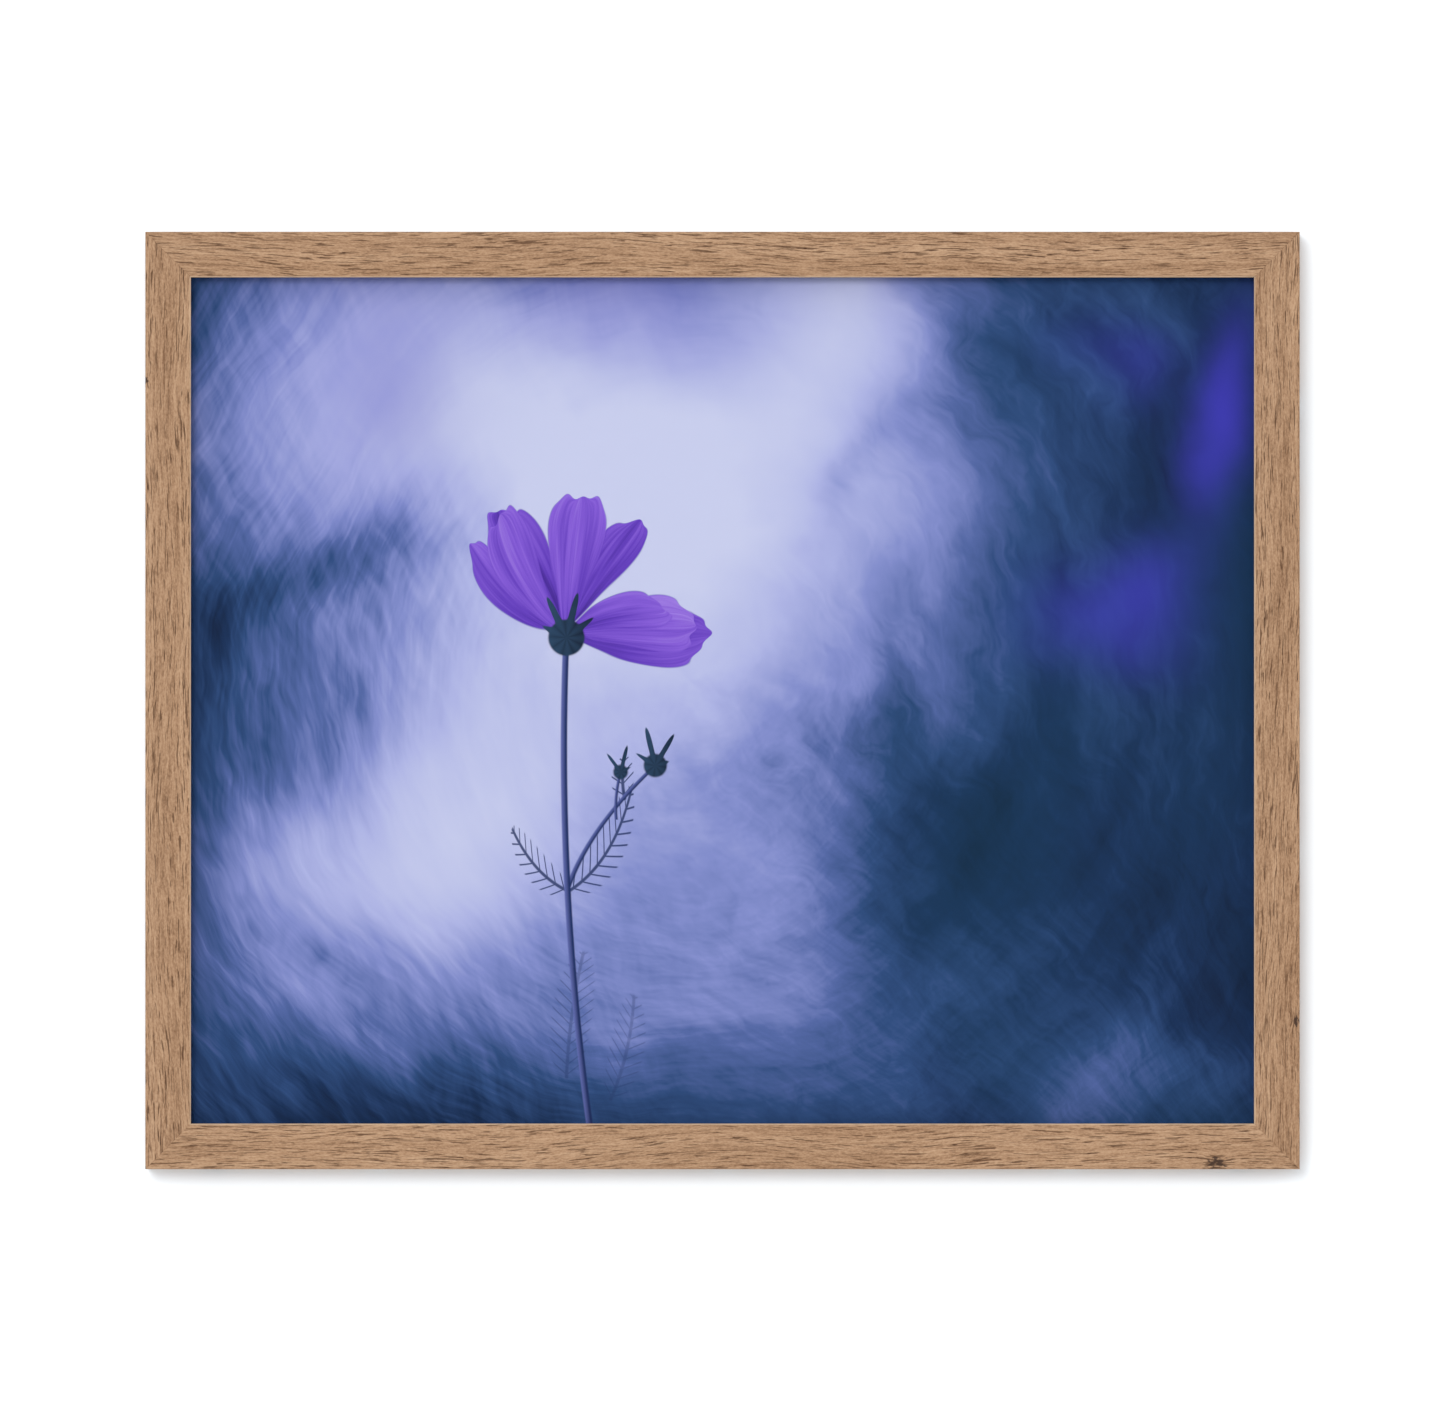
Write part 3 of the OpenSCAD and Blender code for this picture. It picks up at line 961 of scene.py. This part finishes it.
def pressed_bead(top):
    """The stiffening bead along a button's arm, tapered to its end. Its middle is just under top."""
    rise, sunk = 0.5 * MM, 0.4 * MM
    start, end = 6.2 * MM, 16.6 * MM
    wide_half, narrowing = 1.75 * MM, 0.45 * MM
    steps, sides = 28, 20
    rings = []
    for i in range(steps + 1):
        t = i / steps
        swell = sqrt(max(0.0, 1 - abs(2 * t - 1) ** 5)) + 0.03
        half = (wide_half - narrowing * t) * swell
        ring = []
        for k in range(sides):
            a = 2 * pi * k / sides
            lift = sin(a) * (rise if sin(a) > 0 else sunk) * swell
            ring.append(Vector((start + (end - start) * t, top - 0.02 * MM + lift, half * cos(a))))
        rings.append(ring)
    return loft("bead", rings)


def turn_button():
    """A stamped button whose pivot is at the origin and whose arm points to +X."""
    arm = acos((PIVOT_R - ARM_R) / ARM_L) * 180 / pi
    tail = acos((PIVOT_R - TAIL_R) / TAIL_L) * 180 / pi
    outline = arc((ARM_L, 0), ARM_R, -arm, arm, 16)
    outline += arc((0, 0), PIVOT_R, arm, 180 - tail, 6)
    outline += arc((-TAIL_L, 0), TAIL_R, 180 - tail, 180 + tail, 10)
    outline += arc((0, 0), PIVOT_R, 180 + tail, 360 - arm, 6)
    top = BUTTON_Y + BUTTON_T
    mesh = plate("button", outline, BUTTON_Y, top, 0.3 * MM, 4)
    mesh = carved(mesh, pressed_bead(top), "UNION")
    hole, edge = SHANK_R + 0.05 * MM, 0.25 * MM
    wide, clear = hole + edge, 1 * MM
    profile = [(wide + clear, BUTTON_Y - clear), (wide, BUTTON_Y), (hole, BUTTON_Y + edge)]
    profile += [(hole, top - edge), (wide, top), (wide + clear, top + clear)]
    mesh = carved(mesh, lathe("hole", profile, 48))
    smooth_by_angle(mesh, 40)
    return mesh


# Hangers

SHEET_T, STRAP_W, STRAP_L, STRAP_T = 0.79 * MM, 8 * MM, 35 * MM, 1.6 * MM
STRAP_HOLES = (20 * MM, 32 * MM)
HANGER_Z = 140 * MM
KNUCKLE_R, WIRE_R = 1.85 * MM, 1 * MM
KNUCKLE_Y = BACK_Y + KNUCKLE_R
RING_HALF_W, RING_ELBOW_R, RING_LEG, RING_TILT = 6 * MM, 1.5 * MM, 3.5 * MM, radians(5)


def hanger_strap():
    """A strip folded round the ring's bar, with both ends rounded and two screw holes."""
    # Radii of the fold round the bar and of the bend back, then the middles of the two layers
    fold, back_bend = 1.45 * MM, 1.3 * MM
    under, over = BACK_Y + 0.4 * MM, BACK_Y + 1.2 * MM
    drop = over - KNUCKLE_Y
    leave = acos((back_bend + drop) / (fold + back_bend))
    tip = []
    for k in range(11):
        a = radians(84) * (1 - k / 10)
        tip.append((-STRAP_L - STRAP_W / 2 * sin(a), STRAP_W * cos(a)))
    path = [(under, z, w) for z, w in tip]
    path += [(under, z * MM, STRAP_W) for z in (-30, -20, -10, -5, -2)]
    turns = 22
    for k in range(turns + 1):
        a = -pi / 2 + (pi + leave) * k / turns
        path.append((KNUCKLE_Y + fold * sin(a), fold * cos(a), STRAP_W))
    bend_y = KNUCKLE_Y + (fold + back_bend) * cos(leave)
    bend_z = -(fold + back_bend) * sin(leave)
    for k in range(1, 9):
        a = leave * (1 - k / 8)
        path.append((bend_y - back_bend * cos(a), bend_z + back_bend * sin(a), STRAP_W))
    path += [(over, z * MM, STRAP_W) for z in (-5, -10, -20, -30)]
    path += [(over, z, w) for z, w in reversed(tip)]
    rings = []
    edge = 0.14 * MM
    half_t = SHEET_T / 2
    for i, (y, z, width) in enumerate(path):
        before, after = path[max(i - 1, 0)], path[min(i + 1, len(path) - 1)]
        along = Vector((after[0] - before[0], after[1] - before[1])).normalized()
        out = Vector((-along.y, along.x))
        half_w = width / 2
        ring = []
        for x, t in (
            (-half_w, -half_t + edge), (-half_w + edge, -half_t), (half_w - edge, -half_t),
            (half_w, -half_t + edge), (half_w, half_t - edge), (half_w - edge, half_t),
            (-half_w + edge, half_t), (-half_w, half_t - edge),
        ):
            ring.append(Vector((x, y + out.x * t, z + out.y * t)))
        rings.append(ring)
    mesh = loft("strap", rings)
    for drop in STRAP_HOLES:
        bore = lathe("bore", [(SHANK_R + 0.05 * MM, y * MM) for y in (-8, 2)], 40)
        bore.transform(Matrix.Translation((0, 0, -drop)))
        mesh = carved(mesh, bore)
    smooth_by_angle(mesh, 40)
    return mesh


def d_ring():
    """The ring's closed wire: bar, elbows, legs and round bow, leaning out from its strap."""
    bar = RING_HALF_W - RING_ELBOW_R
    path = [Vector((x, 0)) for x in (0, bar * 0.5)]
    path += arc((bar, -RING_ELBOW_R), RING_ELBOW_R, 90, 0, 8)
    path += arc((0, -RING_ELBOW_R - RING_LEG), RING_HALF_W, 0, -180, 32)
    path += arc((-bar, -RING_ELBOW_R), RING_ELBOW_R, 180, 90, 8)
    path.append(Vector((-bar * 0.5, 0)))
    mesh = swept("ring", [Vector((p.x, 0, p.y)) for p in path], Vector((0, 1, 0)), WIRE_R, 18)
    mesh.transform(Matrix.Rotation(RING_TILT, 4, "X"))
    smooth_by_angle(mesh, 50)
    return mesh


# Wall bumpers

BUMPER_R, BUMPER_EDGE = 5 * MM, 0.9 * MM
BUMPER_X = OUTER_W / 2 - 30 * MM


def bumper():
    """A rubber button with a rounded rim and a shallow dish in its face."""
    foot = 0.35 * MM
    profile = [(BUMPER_R - foot, BACK_Y), (BUMPER_R, BACK_Y + foot), (BUMPER_R, -BUMPER_EDGE)]
    for k in range(1, 9):
        a = radians(90 * k / 8)
        profile.append((BUMPER_R - BUMPER_EDGE * (1 - cos(a)), -BUMPER_EDGE * (1 - sin(a))))
    profile += [(3.2 * MM, 0), (2.6 * MM, -0.12 * MM), (1.2 * MM, -0.25 * MM), (0.3 * MM, -0.28 * MM)]
    mesh = lathe("bumper", profile, 48)
    smooth_by_angle(mesh, 40)
    return mesh


def plain_plate(name, low, high, corner, edge):
    """A flat board that fills this box, with eased corners and edges."""
    outline = rounded_outline([
        (low.x, low.z, corner), (high.x, low.z, corner), (high.x, high.z, corner), (low.x, high.z, corner),
    ])
    mesh = plate(name, outline, low.y, high.y, edge)
    smooth_by_angle(mesh, 40)
    return mesh


# Fittings in their places

nickel = steel("nickel_steel", (0.62, 0.6, 0.56, 1), 0.3, 0.0)
zinc = steel("zinc_steel", (0.66, 0.67, 0.68, 1), 0.36, 1.0)
screw_zinc = steel("zinc_screw", (0.6, 0.6, 0.6, 1), 0.3, 2.0)

button_mesh = turn_button()
for name, x, z, turn in BUTTONS:
    mesh = button_mesh.copy()
    mesh.transform(Matrix.Translation((x, 0, z)) @ Matrix.Rotation(radians(turn), 4, "Y"))
    new_piece(name + "_plate", mesh, nickel, name, [name])

grip = BUTTON_T + 2 * BUTTON_AIR
places = [(x, z) for name, x, z, turn in BUTTONS]
mesh = driven("button_screws", screw(grip), places, BACK_Y + grip)
new_piece("button_screws", mesh, screw_zinc, "frame", ["turn_button_screws"])
places = [(side * STILE_X, HANGER_Z - drop) for side in (-1, 1) for drop in STRAP_HOLES]
mesh = driven("strap_screws", screw(STRAP_T), places, BACK_Y + STRAP_T)
new_piece("strap_screws", mesh, screw_zinc, "frame", ["hanger_screws"])

strap_mesh, ring_mesh, bumper_mesh = hanger_strap(), d_ring(), bumper()
bumper_skin = rubber()
for side, label in ((-1, "left"), (1, "right")):
    mesh = strap_mesh.copy()
    mesh.transform(Matrix.Translation((side * STILE_X, 0, HANGER_Z)))
    new_piece("strap_" + label, mesh, zinc, "frame", ["hanger_strap_" + label])
    mesh = ring_mesh.copy()
    mesh.transform(Matrix.Translation((side * STILE_X, KNUCKLE_Y, HANGER_Z)))
    new_piece("ring_" + label, mesh, zinc, "d_ring_" + label, ["d_ring_" + label])
    mesh = bumper_mesh.copy()
    mesh.transform(Matrix.Translation((side * BUMPER_X, 0, -RAIL_Z)))
    new_piece("bumper_" + label, mesh, bumper_skin, "frame", ["wall_bumper_" + label])

DARK_BROWN, PALE_BROWN = (0.125, 0.07, 0.036, 1), (0.29, 0.175, 0.098, 1)
hardboard = board("hardboard", DARK_BROWN, PALE_BROWN, 1500, dull=0.7, depth=0.06, spots=0.6)
mesh = plain_plate("backing", board_low, board_high, 0.6 * MM, 0.3 * MM)
new_piece("backing_hardboard", mesh, hardboard, "frame", ["backing_board"])

# CAD nodes that keep their shape and get a real material


def dress(node, material):
    """Gives a CAD node this material."""
    mesh = nodes[node].data
    mesh.materials.clear()
    mesh.materials.append(material)


dress("glazing", acrylic())
CHARCOAL, CHARCOAL_PALE = (0.02, 0.02, 0.022, 1), (0.05, 0.05, 0.052, 1)
spacer_skin = board("spacer_black", CHARCOAL, CHARCOAL_PALE, 900, dull=0.6, depth=0.02)
for side in ("top", "bottom", "left", "right"):
    dress("spacer_" + side, spacer_skin)
dress("art_print", printed())
dress("print_hinges", board("hinge_tissue", (0.72, 0.69, 0.6, 1), (0.6, 0.56, 0.47, 1), 1400))
dress("mount_board", board("mount_board", (0.7, 0.68, 0.62, 1), (0.62, 0.6, 0.54, 1), 2200))
dress("foam_board", board("foam_board", (0.74, 0.74, 0.73, 1), (0.68, 0.68, 0.67, 1), 1800))
nail_steel = steel("nail_steel", (0.5, 0.5, 0.49, 1), 0.4, 3.0)
for corner in ("top_left", "top_right", "bottom_left", "bottom_right"):
    dress("v_nails_" + corner, nail_steel)

# Studio: a white wall that shows only from the front, a pale floor, and soft light


def flat(name, low, high, material):
    """A flat stage sheet through four corners."""
    (x0, y0, z0), (x1, y1, z1) = low, high
    if y0 == y1:
        corners = [(x0, y0, z0), (x1, y0, z0), (x1, y0, z1), (x0, y0, z1)]
    else:
        corners = [(x0, y0, z0), (x1, y0, z0), (x1, y1, z0), (x0, y1, z0)]
    mesh = bpy.data.meshes.new(name)
    mesh.from_pydata(corners, [], [(0, 1, 2, 3)])
    mesh.materials.append(material)
    sheet = bpy.data.objects.new(name, mesh)
    bpy.context.scene.collection.objects.link(sheet)
    return sheet


def plaster(name, colour, one_sided):
    """Plain matt paint. A one-sided sheet lets the view through from behind."""
    material = bpy.data.materials.new(name)
    material.use_nodes = True
    tree = material.node_tree
    tree.nodes.clear()
    paint = tree.nodes.new("ShaderNodeBsdfDiffuse")
    paint.inputs["Color"].default_value = colour
    output = tree.nodes.new("ShaderNodeOutputMaterial")
    if not one_sided:
        tree.links.new(paint.outputs[0], output.inputs[0])
        return material
    facing = tree.nodes.new("ShaderNodeNewGeometry")
    clear = tree.nodes.new("ShaderNodeBsdfTransparent")
    mix = tree.nodes.new("ShaderNodeMixShader")
    tree.links.new(facing.outputs["Backfacing"], mix.inputs[0])
    tree.links.new(paint.outputs[0], mix.inputs[1])
    tree.links.new(clear.outputs[0], mix.inputs[2])
    tree.links.new(mix.outputs[0], output.inputs[0])
    return material


WALL_GAP = 0.3 * MM
FLOOR_Z = -0.7
# A cool white, because warm light from the oak falls into the frame's shadow on it
WALL_PAINT = (0.88, 0.925, 0.965, 1)
FLOOR_PAINT = (0.66, 0.66, 0.66, 1)
wall = flat("wall", (-6, WALL_GAP, FLOOR_Z), (6, WALL_GAP, 5), plaster("wall_paint", WALL_PAINT, True))
# Nothing but the camera meets the wall, so it takes no light from views of the back
wall.visible_shadow = False
wall.visible_diffuse = False
wall.visible_glossy = False
flat("floor", (-30, -30, FLOOR_Z), (30, 30, FLOOR_Z), plaster("floor_paint", FLOOR_PAINT, False))


def sun(name, toward, strength, width):
    """A soft distant light that shines along toward, and is this many degrees wide."""
    data = bpy.data.lights.new(name, "SUN")
    data.energy = strength
    data.angle = radians(width)
    lamp = bpy.data.objects.new(name, data)
    lamp.rotation_euler = Vector(toward).to_track_quat("-Z", "Y").to_euler()
    bpy.context.scene.collection.objects.link(lamp)


sun("key", (0.15, 1, -0.17), 1.45, 15)
sun("back_key", (0.5, -1, -0.7), 1.6, 12)

world = bpy.data.worlds.new("studio")
world.use_nodes = True
world.node_tree.nodes["Background"].inputs["Color"].default_value = (1, 1, 1, 1)
world.node_tree.nodes["Background"].inputs["Strength"].default_value = 1.0
bpy.context.scene.world = world

# Camera: square on, from far enough that the inner walls don't show

VIEW_WIDTH = 665.9 * MM
CAMERA_DISTANCE = 12.0
lens_data = bpy.data.cameras.new("camera")
lens_data.sensor_width = 36
lens_data.lens = lens_data.sensor_width * CAMERA_DISTANCE / VIEW_WIDTH
lens_data.clip_end = 60
camera = bpy.data.objects.new("camera", lens_data)
camera.location = (0, FRONT_Y - CAMERA_DISTANCE, 0)
camera.rotation_euler = (pi / 2, 0, 0)
bpy.context.scene.collection.objects.link(camera)
bpy.context.scene.camera = camera
bpy.context.scene.view_settings.view_transform = "Standard"
